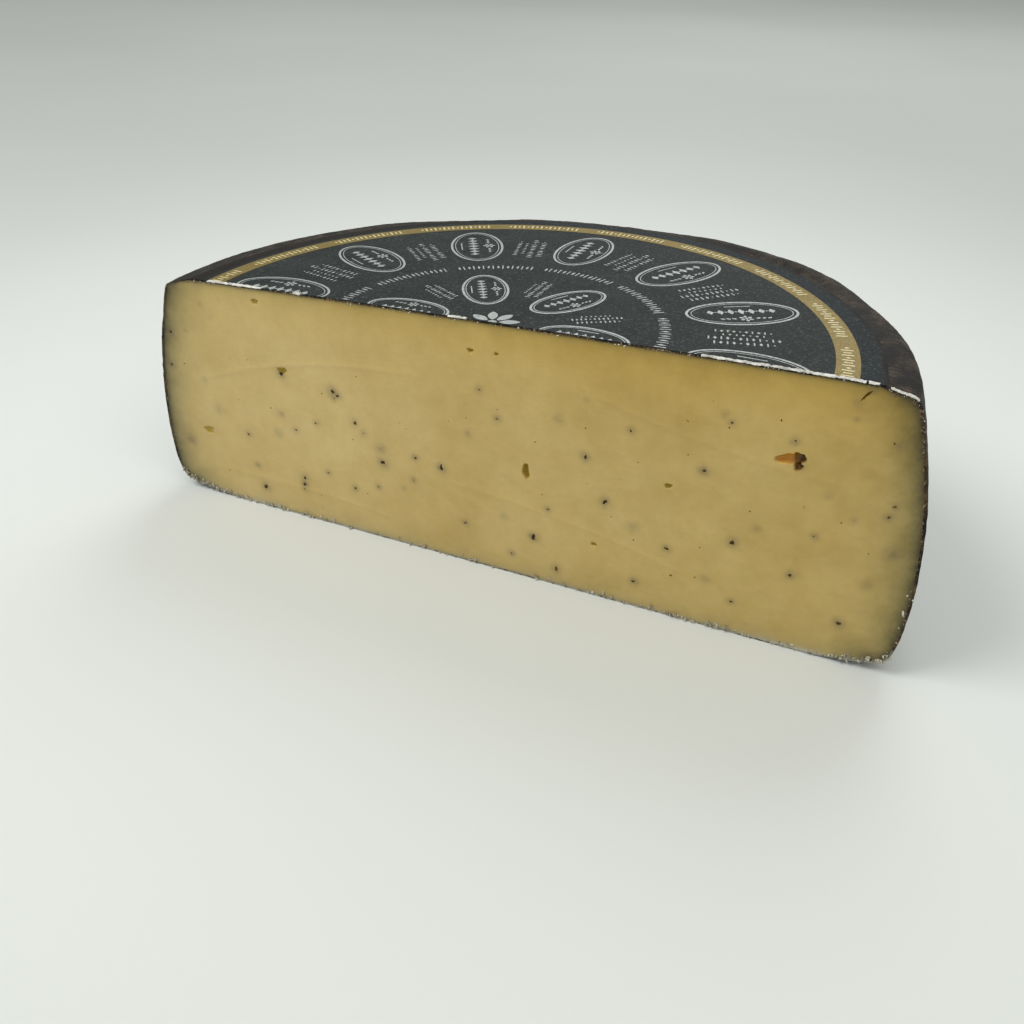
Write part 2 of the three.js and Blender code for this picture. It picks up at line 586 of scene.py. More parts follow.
def wheelOutline(fine):
    # (radius, height) from the axis underneath, round the side, to the axis on top
    s = wheelShape
    baseRadius = wheelRadius - s["baseMargin"]
    heelRadius = wheelRadius - s["heelMargin"]
    edgeHeight = s["height"] - s["edgeDrop"]
    edgeRadius = wheelRadius - s["sideTaper"]
    heel = (heelRadius, s["heelLift"])
    widest = (wheelRadius, s["widestHeight"])
    top = (edgeRadius, edgeHeight)
    shoulder = (edgeRadius - s["edgeWidth"], s["height"] - s["shoulderDrop"])
    points = [(baseRadius * i / 6, 0.0) for i in range(7)]
    points += bend(points[-1], ((baseRadius + heelRadius) / 2, 0.0), heel, 10 * fine)
    points += bend(heel, (wheelRadius, s["heelLift"] + s["heelRound"]), widest, 9 * fine)
    points += bend(widest, (wheelRadius, (s["widestHeight"] + edgeHeight) / 2), top, 22 * fine)
    points += bend(
        top, (edgeRadius - s["edgeWidth"] / 6, s["height"] - 1.2 * s["shoulderDrop"]), shoulder, 5 * fine
    )
    inner = shoulder[0] - labelRadius
    for i in range(1, 2 * fine + 1):
        radius = shoulder[0] - inner * i / (2 * fine)
        drop = (crownHeight(labelRadius) - shoulder[1]) * i / (2 * fine)
        points.append((radius, shoulder[1] + drop))
    points += [(labelRadius * (1 - i / 8), crownHeight(labelRadius * (1 - i / 8))) for i in range(1, 9)]
    return np.array(points)


def outwardOf(outline):
    ahead = np.vstack([outline[1:], outline[-1:]])
    behind = np.vstack([outline[:1], outline[:-1]])
    along = ahead - behind
    along /= np.linalg.norm(along, axis=1)[:, None]
    outward = np.stack([along[:, 1], -along[:, 0]], axis=1)
    outward[0], outward[-1] = (0.0, -1.0), (0.0, 1.0)
    return outward


def rindThickness(outline):
    # thickest on the side, thin under the label and underneath
    height = outline[:, 1]
    low = smoothStep(height, 1 * mm, 8 * mm)
    high = smoothStep(height, wheelShape["height"] - 7 * mm, wheelShape["height"] - 2.5 * mm)
    return 0.5 * mm + 0.3 * mm * low - 0.45 * mm * high


def smoothStep(value, low, high):
    t = np.clip((value - low) / (high - low), 0, 1)
    return t * t * (3 - 2 * t)


# a shell turned half way round the axis, closed along both cut edges


# how much fuller the shoulder stands, by the share of the way round from +X
fullness = [
    (0.0, 0.0), (0.08, 0.3), (0.17, 0.5), (0.26, 1.0), (0.34, 0.84), (0.43, 0.2),
    (0.52, 0.02), (0.66, 0.02), (0.78, 0.42), (0.88, 0.34), (0.96, 0.18), (1.0, 0.0),
]


def skinRelief(tree, given, wrap):
    wide = noise(tree, wrap, 0.03, 2.0, 0.5)
    crease = noise(tree, doVector(tree, "MULTIPLY", wrap, (0.03, 0.33, 1.0)), 1.0, 3.0, 0.6)
    scuff = noise(tree, wrap, 0.3, 4.0, 0.6)
    parts = [
        times(tree, minus(tree, pattern, 0.5), given[depth])
        for pattern, depth in ((wide, "Undulation"), (crease, "Crease"), (scuff, "Scuff"))
    ]
    return plus(tree, *parts)


def roundAndBack(tree, row, rounds, inner):
    # the share of the half turn at each row: out along the skin, then back along the inner wall
    isInner = doMath(tree, "GREATER_THAN", row, plus(tree, rounds, 0.5))
    outerOnly = minus(tree, 1.0, isInner)
    outerTurn = doMath(tree, "MINIMUM", doMath(tree, "DIVIDE", row, rounds), 1.0)
    innerRow = minus(tree, minus(tree, row, rounds), 1.0)
    innerTurn = minus(tree, 1.0, doMath(tree, "DIVIDE", innerRow, inner))
    turn = plus(tree, times(tree, outerTurn, outerOnly), times(tree, innerTurn, isInner))
    return turn, isInner, outerOnly


def turnedShellTree():
    tree, given, result = newTree("turnedShell", {
        "Outline Points": ("Int", 2),
        "Steps Round": ("Int", 360),
        "Inner Steps": ("Int", 24),
        "Axis Y": ("Float", axisY),
        "Lean": ("Float", 0.0),
        "Slide": ("Float", 0.0),
        "Slide From": ("Float", wheelShape["widestHeight"]),
        "Proud": ("Float", 0.0),
        "Undulation": ("Float", 0.0),
        "Crease": ("Float", 0.0),
        "Scuff": ("Float", 0.0),
        "Rim Lift": ("Float", 0.0),
        "Material": ("Material", None),
    })
    rounds, inner = given["Steps Round"], given["Inner Steps"]
    rows = plus(tree, rounds, inner, 3.0)
    grid = addNode(tree, "GeometryNodeMeshGrid", {
        "Size X": 1.0, "Size Y": 1.0, "Vertices X": given["Outline Points"], "Vertices Y": rows,
    })
    index = addNode(tree, "GeometryNodeInputIndex").outputs[0]
    station = doMath(tree, "FLOOR", doMath(tree, "DIVIDE", plus(tree, index, 0.5), rows))
    row = minus(tree, index, times(tree, station, rows))
    row = times(tree, row, doMath(tree, "LESS_THAN", row, minus(tree, rows, 1.5)))
    turn, isInner, outerOnly = roundAndBack(tree, row, rounds, inner)
    angle = times(tree, turn, math.pi)

    def fromOutline(name, kind):
        values = {"Geometry": given["Geometry"], "Value": named(tree, name, kind), "Index": station}
        return addNode(tree, "GeometryNodeSampleIndex", values, data_type=kind).outputs[0]

    spot = split(tree, fromOutline("spot", "FLOAT_VECTOR"))
    outward = split(tree, fromOutline("outward", "FLOAT_VECTOR"))
    thick = fromOutline("thick", "FLOAT")
    ease = fromOutline("relief", "FLOAT")
    along = fromOutline("along", "FLOAT")
    rim = fromOutline("rim", "FLOAT")
    full = fromOutline("full", "FLOAT")
    # unrolled place on the skin, in millimetres, for patterns that follow the surface
    wrap = join(tree, times(tree, angle, wheelRadius / mm), along, 0.0)
    relief = skinRelief(tree, given, wrap)
    # the shoulder stands fuller in places away from the cut
    relief = plus(tree, relief, times(tree, floatCurve(tree, turn, fullness), full, given["Rim Lift"]))
    relief = times(tree, relief, ease, outerOnly)
    shift = minus(tree, relief, times(tree, thick, isInner))
    radius = plus(tree, spot[0], times(tree, outward[0], shift))
    radius = doMath(tree, "MAXIMUM", radius, 0.0)
    height = plus(tree, spot[2], times(tree, outward[2], shift))
    x = times(tree, radius, doMath(tree, "COSINE", angle))
    above = minus(tree, height, given["Slide From"])
    x = minus(tree, x, times(tree, above, given["Slide"]))
    sine = doMath(tree, "SINE", angle)
    atCut = doMath(tree, "LESS_THAN", sine, 0.0001)
    y = plus(tree, times(tree, radius, sine), given["Axis Y"])
    y = minus(tree, y, times(tree, atCut, given["Proud"]))
    z = times(tree, height, plus(tree, times(tree, x, given["Lean"]), 1.0))
    stored = addNode(tree, "GeometryNodeStoreNamedAttribute", {
        "Geometry": grid.outputs["Mesh"], "Name": "wrap", "Value": wrap,
    }, data_type="FLOAT_VECTOR", domain="POINT")
    stored = addNode(tree, "GeometryNodeStoreNamedAttribute", {
        "Geometry": stored.outputs[0], "Name": "shoulder", "Value": rim,
    }, data_type="FLOAT", domain="POINT")
    placed = setPlace(tree, stored.outputs[0], Position=join(tree, x, y, z))
    merged = addNode(tree, "GeometryNodeMergeByDistance", {"Geometry": placed, "Distance": mergeReach})
    return finishTree(tree, result, merged.outputs[0], given["Material"])


def outlineMesh(name, outline, outward, thick, relief, rim, full):
    mesh = meshFrom(name, [(r, 0.0, z) for r, z in outline])
    setVectors(mesh, "spot", np.column_stack([outline[:, 0], np.zeros(len(outline)), outline[:, 1]]))
    setVectors(mesh, "outward", np.column_stack([outward[:, 0], np.zeros(len(outline)), outward[:, 1]]))
    steps = np.linalg.norm(np.diff(outline, axis=0), axis=1)
    length = np.concatenate([[0.0], np.cumsum(steps)]) / mm
    atHeel = length[np.argmax(outline[:, 0] >= wheelRadius - wheelShape["heelMargin"])]
    setFloats(mesh, "thick", thick)
    setFloats(mesh, "relief", relief)
    setFloats(mesh, "along", length - atHeel)
    setFloats(mesh, "rim", rim)
    setFloats(mesh, "full", full)
    return mesh


shellTree = turnedShellTree()
print("stage: trees ready")


# the rind

rindSizes = {
    "undulation": 1.3 * mm,
    "crease": 0.6 * mm,
    "scuff": 0.45 * mm,
    "rimLift": 2.2 * mm,
    "proud": 0.10 * mm,
    "stepsRound": 420,
}


def buildRind():
    outline = wheelOutline(3)
    outward = outwardOf(outline)
    height, radius = outline[:, 1], outline[:, 0]
    above = height > wheelShape["height"] / 2
    reliefLow = smoothStep(height, 0.4 * mm, 6 * mm)
    reliefHigh = np.where(above, smoothStep(radius, labelRadius + 0.5 * mm, labelRadius + 5 * mm), 1.0)
    rim = smoothStep(height, wheelShape["height"] - 6.2 * mm, wheelShape["height"] - 3.6 * mm)
    full = smoothStep(height, wheelShape["height"] - 26 * mm, wheelShape["height"] - 5 * mm)
    mesh = outlineMesh(
        "rindOutline", outline, outward, rindThickness(outline), reliefLow * reliefHigh, rim, full
    )
    piece = newPiece("cheese_rind", mesh)
    runTree(piece, shellTree, {
        "Outline Points": len(outline),
        "Steps Round": rindSizes["stepsRound"],
        "Lean": leanRate,
        "Slide": slideRate,
        "Proud": rindSizes["proud"],
        "Undulation": rindSizes["undulation"],
        "Crease": rindSizes["crease"],
        "Scuff": rindSizes["scuff"],
        "Rim Lift": rindSizes["rimLift"],
        "Material": rindMaterial(),
    })
    settle(piece, "cheese")


# the cut paste

pasteSizes = {
    "tuck": 0.08 * mm,  # how far the paste reaches under the rind
    "gridStep": 0.75 * mm,
    "eyeStep": 0.24 * mm,
    "eyeBorder": 1.4,  # the close points reach this many times an eye's own size
    "roundSteps": 40,
}

# eyes in the cut face: middle x and height, half sizes, tilt in degrees, depth, in millimetres,
# then the tone from 0 olive to 1 amber
eyes = [
    (-83.5, 80.5, 1.4, 1.0, 5, 0.6, 0.0),
    (-76.3, 57.7, 2.0, 1.2, 10, 0.8, 0.0),
    (-112.0, 27.2, 2.2, 1.5, 8, 0.6, 0.0),
    (88.4, 64.5, 3.5, 1.6, 12, 1.4, 1.0),
    (91.3, 65.2, 1.8, 2.0, -10, 2.2, 1.0),
    (91.6, 62.8, 1.2, 1.3, 0, 2.0, 1.0),
    (103.9, 87.0, 0.32, 2.0, -34, 0.9, 0.6),
    (-7.0, 78.2, 1.1, 0.7, 0, 0.9, 0.0),
    (1.5, 78.6, 0.8, 0.6, 0, 0.7, 0.0),
    (12.0, 41.0, 1.2, 2.9, 6, 1.9, 0.1),
    (36.0, 20.0, 1.0, 0.7, 0, 0.8, 0.0),
    (57.0, 47.5, 1.2, 0.9, 20, 1.0, 0.0),
]

# x, height, width in millimetres, stretch, turn in degrees, tint from 0 black to 1 brown
flecks = [
    (-121, 63.5, 1.3, 1.1, 0, 0.2), (-123.5, 50.6, 1.3, 1.3, 30, 0.2), (-76.9, 56.4, 1.3, 1.3, 10, 0.1),
    (-57, 54, 1.7, 1.2, -20, 0.1), (-55.2, 52.9, 1.0, 1.3, 20, 0.2), (-56.6, 51.8, 0.6, 1.0, 0, 0.4),
    (-39.6, 31.2, 1.8, 1.1, 0, 0.1), (-90, 8.5, 1.9, 1.2, 60, 0.4), (-72.6, 14, 1.4, 1.2, 10, 0.2),
    (-72.3, 16.9, 1.4, 1.2, 80, 0.3), (-72.9, 12.2, 0.7, 1.0, 0, 0.5), (-94.2, 29.5, 1.0, 1.3, 30, 0.8),
    (-49.5, 44.2, 1.4, 1.6, -30, 0.8), (-46.4, 41, 0.9, 1.4, -50, 0.8), (-51.5, 18, 1.0, 1.4, 0, 0.6),
    (-62, 21.5, 0.8, 1.2, 0, 0.7), (-27, 36.5, 0.8, 1.6, 90, 0.2), (-28.2, 27.5, 0.8, 1.2, 0, 0.5),
    (-92.4, 17, 0.7, 1.0, 0, 0.7), (-73.5, 36, 0.7, 1.0, 0, 0.7), (-42, 21, 0.7, 1.3, 40, 0.5),
    (-65, 40.5, 0.8, 1.2, 0, 0.9), (89.2, 70.4, 0.9, 1.2, 0, 0.2),
    (91.8, 63.4, 1.1, 1.4, 70, 0.3), (118.0, 57, 0.9, 1.5, 0, 0.8), (117.3, 53.5, 1.0, 1.2, 0, 0.7),
    (112.5, 14.3, 1.3, 1.4, -10, 0.3), (109, 50, 0.6, 1.0, 0, 0.8), (-17.5, 35, 1.3, 2.2, 92, 0.0),
    (15.5, 17, 1.4, 2.0, 85, 0.0), (24, 6.6, 1.3, 1.7, 100, 0.5), (2, 57.5, 1.0, 1.3, 20, 0.7),
    (31, 51, 1.2, 1.4, 70, 0.2), (44, 63, 0.9, 1.2, 0, 0.6), (38.5, 36.8, 1.6, 1.3, 40, 0.1),
    (59, 25.4, 1.1, 1.5, -20, 0.3), (66.5, 55.2, 1.3, 1.2, 10, 0.1), (78, 33.4, 1.5, 1.3, 60, 0.2),
    (81, 12, 1.0, 1.3, 0, 0.6), (50, 9.8, 1.2, 1.3, 30, 0.3), (-9, 15.4, 1.1, 1.5, 60, 0.6),
    (-4, 66, 0.8, 1.0, 0, 0.8), (72, 72, 0.9, 1.2, 20, 0.7), (96, 27, 1.2, 1.2, 30, 0.4),
    (100, 42, 0.8, 1.4, 0, 0.7), (20, 29, 0.9, 1.4, 0, 0.8), (8, 8, 0.8, 1.0, 0, 0.3),
]

# soft grey or green smears under the surface: x, height, radius, strength
smears = [
    (-121, 21, 2.6, 0.5), (-106, 37, 2.6, 0.3), (-110, 47.5, 1.6, 0.35), (-79, 41, 1.8, 0.35),
    (-81, 33, 2.0, 0.4), (-40, 36.5, 2.6, 0.45), (-62, 21.5, 1.4, 0.3), (-42, 21, 1.6, 0.3),
    (-32, 23, 1.4, 0.25), (-65, 40.5, 1.2, 0.3), (121, 42, 2.8, 0.4), (101, 56, 1.6, 0.35),
    (115, 75, 1.6, 0.45), (103, 80, 1.1, 0.35), (-114.5, 65, 1.0, 0.3), (22, 62, 2.2, 0.35),
    (48, 30, 2.4, 0.4), (72, 18, 2.0, 0.35), (70, 74, 1.6, 0.3), (5, 22, 2.0, 0.3), (30, 70, 1.2, 0.3),
    (84, 40, 1.8, 0.3), (-8, 50, 1.7, 0.35), (-106, 76, 1.5, 0.22), (-103, 72, 1.1, 0.2),
    (-98, 79, 1.2, 0.18), (102.6, 84.6, 1.7, 0.35), (105.0, 88.6, 1.3, 0.35), (117, 30, 2.2, 0.3),
]

# long soft ridges that the knife left: start x, height, end x, height, bow, rise
knifeRidges = [
    (-112, 47, -22, 66, 5, 0.16),
    (-108, 12, -30, 9, 1.5, 0.14),
    (-96, 84, -88, 6, 3, 0.07),
    (-46, 86, -42, 4, -4, 0.06),
    (20, 76, 112, 60, -4, 0.10),
    (-18, 30, 70, 16, 3, 0.12),
    (64, 88, 70, 5, 3, 0.06),
]


def sidePart(outline):
    cornerRadius = wheelRadius - wheelShape["sideTaper"] - wheelShape["edgeWidth"] / 2
    inside = np.flatnonzero((outline[:, 0] > cornerRadius) & (outline[:, 1] > 3 * mm))
    return slice(inside[0], inside[-1] + 1)


def topPart(outline):
    inside = np.flatnonzero(outline[:, 1] > wheelShape["height"] - wheelShape["edgeDrop"])
    return slice(inside[0], inside[-1] + 1)


def insideOf(points, loop):
    inside = np.zeros(len(points), dtype=bool)
    for a, b in zip(loop, np.roll(loop, -1, axis=0)):
        crosses = (a[1] > points[:, 1]) != (b[1] > points[:, 1])
        reach = a[0] + (points[:, 1] - a[1]) * (b[0] - a[0]) / (b[1] - a[1] + 1e-12)
        inside ^= crosses & (points[:, 0] < reach)
    return inside


def distanceTo(points, path):
    nearest = np.full(len(points), 1.0)
    for a, b in zip(path[:-1], path[1:]):
        span = b - a
        t = np.clip(((points - a) @ span) / (span @ span + 1e-15), 0, 1)
        nearest = np.minimum(nearest, np.linalg.norm(points - a - t[:, None] * span, axis=1))
    return nearest


def eyeFrame(points, eye):
    x, z, halfWide, halfHigh, _, depth, _ = (value * mm for value in eye)
    tilt = math.radians(eye[4])
    away = points - np.array([x, z])
    u = (away[:, 0] * math.cos(tilt) + away[:, 1] * math.sin(tilt)) / halfWide
    v = (away[:, 1] * math.cos(tilt) - away[:, 0] * math.sin(tilt)) / halfHigh
    ragged = 1 + 0.10 * np.sin(3 * np.arctan2(v, u) + x * 900) + 0.06 * np.sin(5 * np.arctan2(v, u) + z * 700)
    return np.hypot(u, v) / ragged, depth


# slow waves of the cut face: length and depth in millimetres
cutWaves = [(45, 0.10), (20, 0.06), (9, 0.035), (4, 0.015)]


def cutRelief(points):
    # how far the face is cut back at each point, and how much of that is an eye
    back = np.zeros(len(points))
    rng = np.random.default_rng(11)
    for length, depth in cutWaves:
        for _ in range(5):
            heading = rng.uniform(0, 2 * math.pi)
            phase = rng.uniform(0, 2 * math.pi)
            wave = 2 * math.pi / (length * mm * rng.uniform(0.8, 1.25))
            run = points[:, 0] * math.cos(heading) + points[:, 1] * math.sin(heading)
            back += depth * mm / 3 * np.sin(run * wave + phase)
    for x0, z0, x1, z1, bow, rise in knifeRidges:
        start, end = np.array([x0, z0]) * mm, np.array([x1, z1]) * mm
        span = end - start
        length = np.linalg.norm(span)
        span /= length
        along = (points - start) @ span
        across = (points - start) @ np.array([-span[1], span[0]])
        t = np.clip(along / length, 0, 1)
        across -= bow * mm * 4 * t * (1 - t)
        ends = smoothStep(along, -0.004, 0.012) * (1 - smoothStep(along, length - 0.012, length + 0.004))
        back -= rise * mm * np.exp(-((across / (0.7 * mm)) ** 2)) * ends
        behind = smoothStep(across, 0, 3 * mm) * (1 - smoothStep(across, 3 * mm, 9 * mm))
        back += 0.5 * rise * mm * behind * ends
    eyeAmount, eyeTone, hollow = (np.zeros(len(points)) for _ in range(3))
    for eye in eyes:
        q, depth = eyeFrame(points, eye)
        bowl = np.sqrt(np.clip(1 - q * q, 0, 1))
        hollow = np.maximum(hollow, depth * bowl)
        eyeAmount = np.maximum(eyeAmount, smoothStep(bowl, 0.1, 0.6) * min(1.0, 0.75 + depth / (4 * mm)))
        eyeTone = np.maximum(eyeTone, eye[6] * (q < 1.1))
    back += hollow
    return back, eyeAmount, eyeTone


def pasteLoop(skin):
    # the cut face's outline, up the +X side and down the other
    right = np.array([skinPoint(r, z) for r, z in skin])
    left = np.array([skinPoint(-r, z) for r, z in skin])
    return right, left, np.vstack([right, left[-2:0:-1]])


def gridOver(across, up, step):
    gridX, gridZ = np.meshgrid(across, up)
    gridX[1::2] += step / 2
    return np.column_stack([gridX.ravel(), gridZ.ravel()])


def facePoints(loop, closed):
    # an even spread of points over the cut face, closer together in the eyes
    step, fine = pasteSizes["gridStep"], pasteSizes["eyeStep"]
    border = pasteSizes["eyeBorder"]
    cloud = gridOver(
        np.arange(-wheelRadius, wheelRadius, step), np.arange(0, cheeseHigh[2], step * 0.866), step
    )
    rng = np.random.default_rng(5)
    cloud += rng.uniform(-0.12, 0.12, cloud.shape) * step
    cloud = cloud[insideOf(cloud, loop)]
    cloud = cloud[distanceTo(cloud, closed) > step * 0.6]
    for eye in eyes:
        reach = 1.35 * max(eye[2], eye[3]) * mm
        cloud = cloud[eyeFrame(cloud, eye)[0] > border]
        spread = np.arange(-reach * 1.2, reach * 1.2, fine)
        close = gridOver(spread, spread, fine) + np.array(eye[:2]) * mm
        cloud = np.vstack([cloud, close[eyeFrame(close, eye)[0] < border]])
    return cloud


def hiddenSkin(skin, offset):
    # the paste's own round side, under the rind
    turns = np.linspace(0, math.pi, pasteSizes["roundSteps"] + 1)
    rings, faces = [], []
    for turn in turns:
        x, z = skinPoint(skin[:, 0] * math.cos(turn), skin[:, 1])
        rings.append(np.column_stack([x, axisY + skin[:, 0] * math.sin(turn), z]))
    count = len(skin)
    for a in range(len(turns) - 1):
        for b in range(count - 1):
            first = offset + a * count + b
            faces.append((first, first + count, first + count + 1, first + 1))
    return rings, faces


def faceTones(flat, skin, right, left):
    # what the paste's colour follows: distances to the skins in mm, and the smears
    tones = {}
    for name, part in (("fromSide", sidePart(skin)), ("fromTop", topPart(skin))):
        tones[name] = np.minimum(distanceTo(flat, right[part]), distanceTo(flat, left[part])) / mm
    tones["fromBase"] = np.abs(flat[:, 1]) / mm
    halos = [(x, z, 0.9 * wide + 1.0, 0.62 * (1 - 0.5 * tint)) for x, z, wide, _, _, tint in flecks]
    smear = np.zeros(len(flat))
    for x, z, radius, strength in smears + halos:
        away = np.hypot(flat[:, 0] - x * mm, flat[:, 1] - z * mm) / (radius * mm)
        smear = np.maximum(smear, strength * np.exp(-away * away * 1.4))
    tones["smear"] = smear
    return tones


def buildPaste():
    outline = wheelOutline(1)
    inset = rindThickness(outline) - pasteSizes["tuck"]
    skin = outline - outwardOf(outline) * inset[:, None]
    skin[:, 0] = np.maximum(skin[:, 0], 0.0)
    right, left, loop = pasteLoop(skin)
    closed = np.vstack([loop, loop[:1]])
    points = np.vstack([loop, facePoints(loop, closed)])
    ring = [(i, (i + 1) % len(loop)) for i in range(len(loop))]
    flat, _, faces, *_ = delaunay_2d_cdt([Vector(p) for p in points], ring, [], 1, 1e-7)
    flat = np.array([tuple(p) for p in flat])

    back, eyeAmount, eyeTone = cutRelief(flat)
    eased = smoothStep(distanceTo(flat, closed), 0.0, 1.5 * mm)
    front = np.column_stack([flat[:, 0], axisY + back * eased, flat[:, 1]])
    rings, hiddenFaces = hiddenSkin(skin, len(front))
    everything = np.vstack([front] + rings)
    mesh = meshFrom("cutPaste", everything, (), [tuple(f) for f in faces] + hiddenFaces)
    tones = {**faceTones(flat, skin, right, left), "eye": eyeAmount, "eyeTone": eyeTone}
    pad = np.zeros(len(everything) - len(flat))
    for name, values in tones.items():
        setFloats(mesh, name, np.concatenate([values, pad]))

    shape = bmesh.new()
    shape.from_mesh(mesh)
    bmesh.ops.remove_doubles(shape, verts=shape.verts, dist=mergeReach)
    bmesh.ops.recalc_face_normals(shape, faces=shape.faces)
    shape.to_mesh(mesh)
    shape.free()
    mesh.materials.append(pasteMaterial())
    piece = newPiece("cheese_paste", mesh)
    settle(piece, "cheese")


buildRind()
print("stage: rind turned")
buildPaste()
print("stage: paste cut")


# the label sheet and the gold ring on it

labelSizes = {
    "lift": 0.06 * mm,
    "thickness": 0.26 * mm,
    "printLift": 0.05 * mm,
    "ringInner": 95.0 * mm,
    "ringOuter": 101.3 * mm,
    "stepsRound": 240,
}


def flatBand(name, innerRadius, outerRadius, lift, thickness, steps, material):
    radii = np.linspace(outerRadius, innerRadius, steps)
    outline = np.array([(r, crownHeight(r) + lift + thickness) for r in radii])
    outward = np.tile([0.0, 1.0], (steps, 1))
    thick = np.full(steps, thickness)
    # the inner and outer rims close by meeting
    thick[0] = 0.0
    if innerRadius > 0:
        thick[-1] = 0.0
    outline[0, 1] -= thickness / 2
    mesh = outlineMesh(name + "Outline", outline, outward, thick, *[np.zeros(steps)] * 3)
    piece = newPiece(name, mesh)
    runTree(piece, shellTree, {
        "Outline Points": steps,
        "Steps Round": labelSizes["stepsRound"],
        "Inner Steps": labelSizes["stepsRound"],
        "Lean": leanRate,
        "Proud": 0.0,
        "Material": material,
    })
    settle(piece, "paper_label")


def buildLabel():
    s = labelSizes
    flatBand("label_paper", 0.0, labelRadius, s["lift"], s["thickness"], 60, labelMaterial())
    gold = inkMaterial("goldPrint", sRgb(150, 128, 54), sRgb(108, 91, 36), 0.42)
    flatBand(
        "label_gold_ring", s["ringInner"], s["ringOuter"],
        s["lift"] + s["thickness"] + 0.01 * mm, s["printLift"], 5, gold,
    )


buildLabel()
print("stage: label laid")


# print on the label: plain ovals, lozenges, bars and petals


def ovalRing(middle, halfLong, halfWide, line, steps=56):
    points, faces = [], []
    for i in range(steps):
        turn = 2 * math.pi * i / steps
        for grow in (0.0, line):
            points.append((
                middle[0] + (halfLong - grow) * math.cos(turn), middle[1] + (halfWide - grow) * math.sin(turn)
            ))
        a, b = 2 * i, 2 * ((i + 1) % steps)
        faces.append((a, b, b + 1, a + 1))
    return points, faces


def polygon(middle, corners, halfLong, halfWide, turn=0.0, sharp=1.0):
    points = []
    for i in range(corners):
        a = 2 * math.pi * i / corners
        u = halfLong * math.cos(a)
        v = halfWide * math.sin(a) * abs(math.sin(a)) ** (sharp - 1)
        points.append((
            middle[0] + u * math.cos(turn) - v * math.sin(turn),
            middle[1] + u * math.sin(turn) + v * math.cos(turn),
        ))
    return points, [tuple(range(corners))]


def block(middle, long, wide):
    x, y = middle
    a, b = long / 2, wide / 2
    return [(x - a, y - b), (x + a, y - b), (x + a, y + b), (x - a, y + b)], [(0, 1, 2, 3)]


def rosette(middle, petals, inner, outer, halfWide):
    shapes = []
    for i in range(petals):
        turn = 2 * math.pi * (i + 0.5) / petals
        reach = (inner + outer) / 2
        spot = (middle[0] + reach * math.cos(turn), middle[1] + reach * math.sin(turn))
        shapes.append(polygon(spot, 12, (outer - inner) / 2, halfWide, turn, 1.6))
    shapes.append(polygon(middle, 12, inner * 0.72, inner * 0.72))
    return shapes


def motifMesh(name, shapes, scale=mm):
    points, faces = [], []
    for shapePoints, shapeFaces in shapes:
        first = len(points)
        points += [(x * scale, y * scale, 0.0) for x, y in shapePoints]
        faces += [tuple(first + i for i in face) for face in shapeFaces]
    return meshFrom(name, points, (), faces)


def medallion(size):
    # long side along +X, which is turned to point away from the wheel's axis
    shapes = [ovalRing((0, 0), 17 * size, 9.3 * size, 0.78), ovalRing((0, 0), 15.4 * size, 7.8 * size, 0.28)]
    for i in range(7):
        tall = (2.1 - 0.16 * abs(i - 3)) * size
        shapes.append(polygon(((i - 3) * 3.1 * size, 1.2 * size), 4, 1.05 * size, tall))
    for i in range(6):
        shapes.append(polygon(((i - 2.5) * 3.1 * size, 1.2 * size), 8, 0.34 * size, 0.34 * size))
    shapes += rosette((0, -4.3 * size), 6, 0.7 * size, 2.2 * size, 0.5 * size)
    for side in (-1, 1):
        for i in range(3):
            spot = (side * (3.6 + 1.7 * i) * size, -4.2 * size)
            shapes.append(polygon(spot, 8, 0.75 * size, 0.4 * size, side * 0.5))
    shapes.append(block((0, 5.4 * size), 8 * size, 0.4))
    return shapes


def dashRows(rows, size):
    # rows: (offset across, half length, mark height)
    shapes = []
    for across, half, tall in rows:
        marks = int(2 * half / 1.7)
        for i in range(marks):
            spot = -half + (i + 0.5) * 2 * half / marks
            if i % 5 == 4:
                shapes.append(polygon((spot * size, across * size), 8, 0.3, 0.3))
            elif i % 2:
                shapes.append(polygon((spot * size, across * size), 4, 0.5 * size, tall / 2 * size))
            else:
                shapes.append(block((spot * size, across * size), 0.42, tall * size))
    return shapes


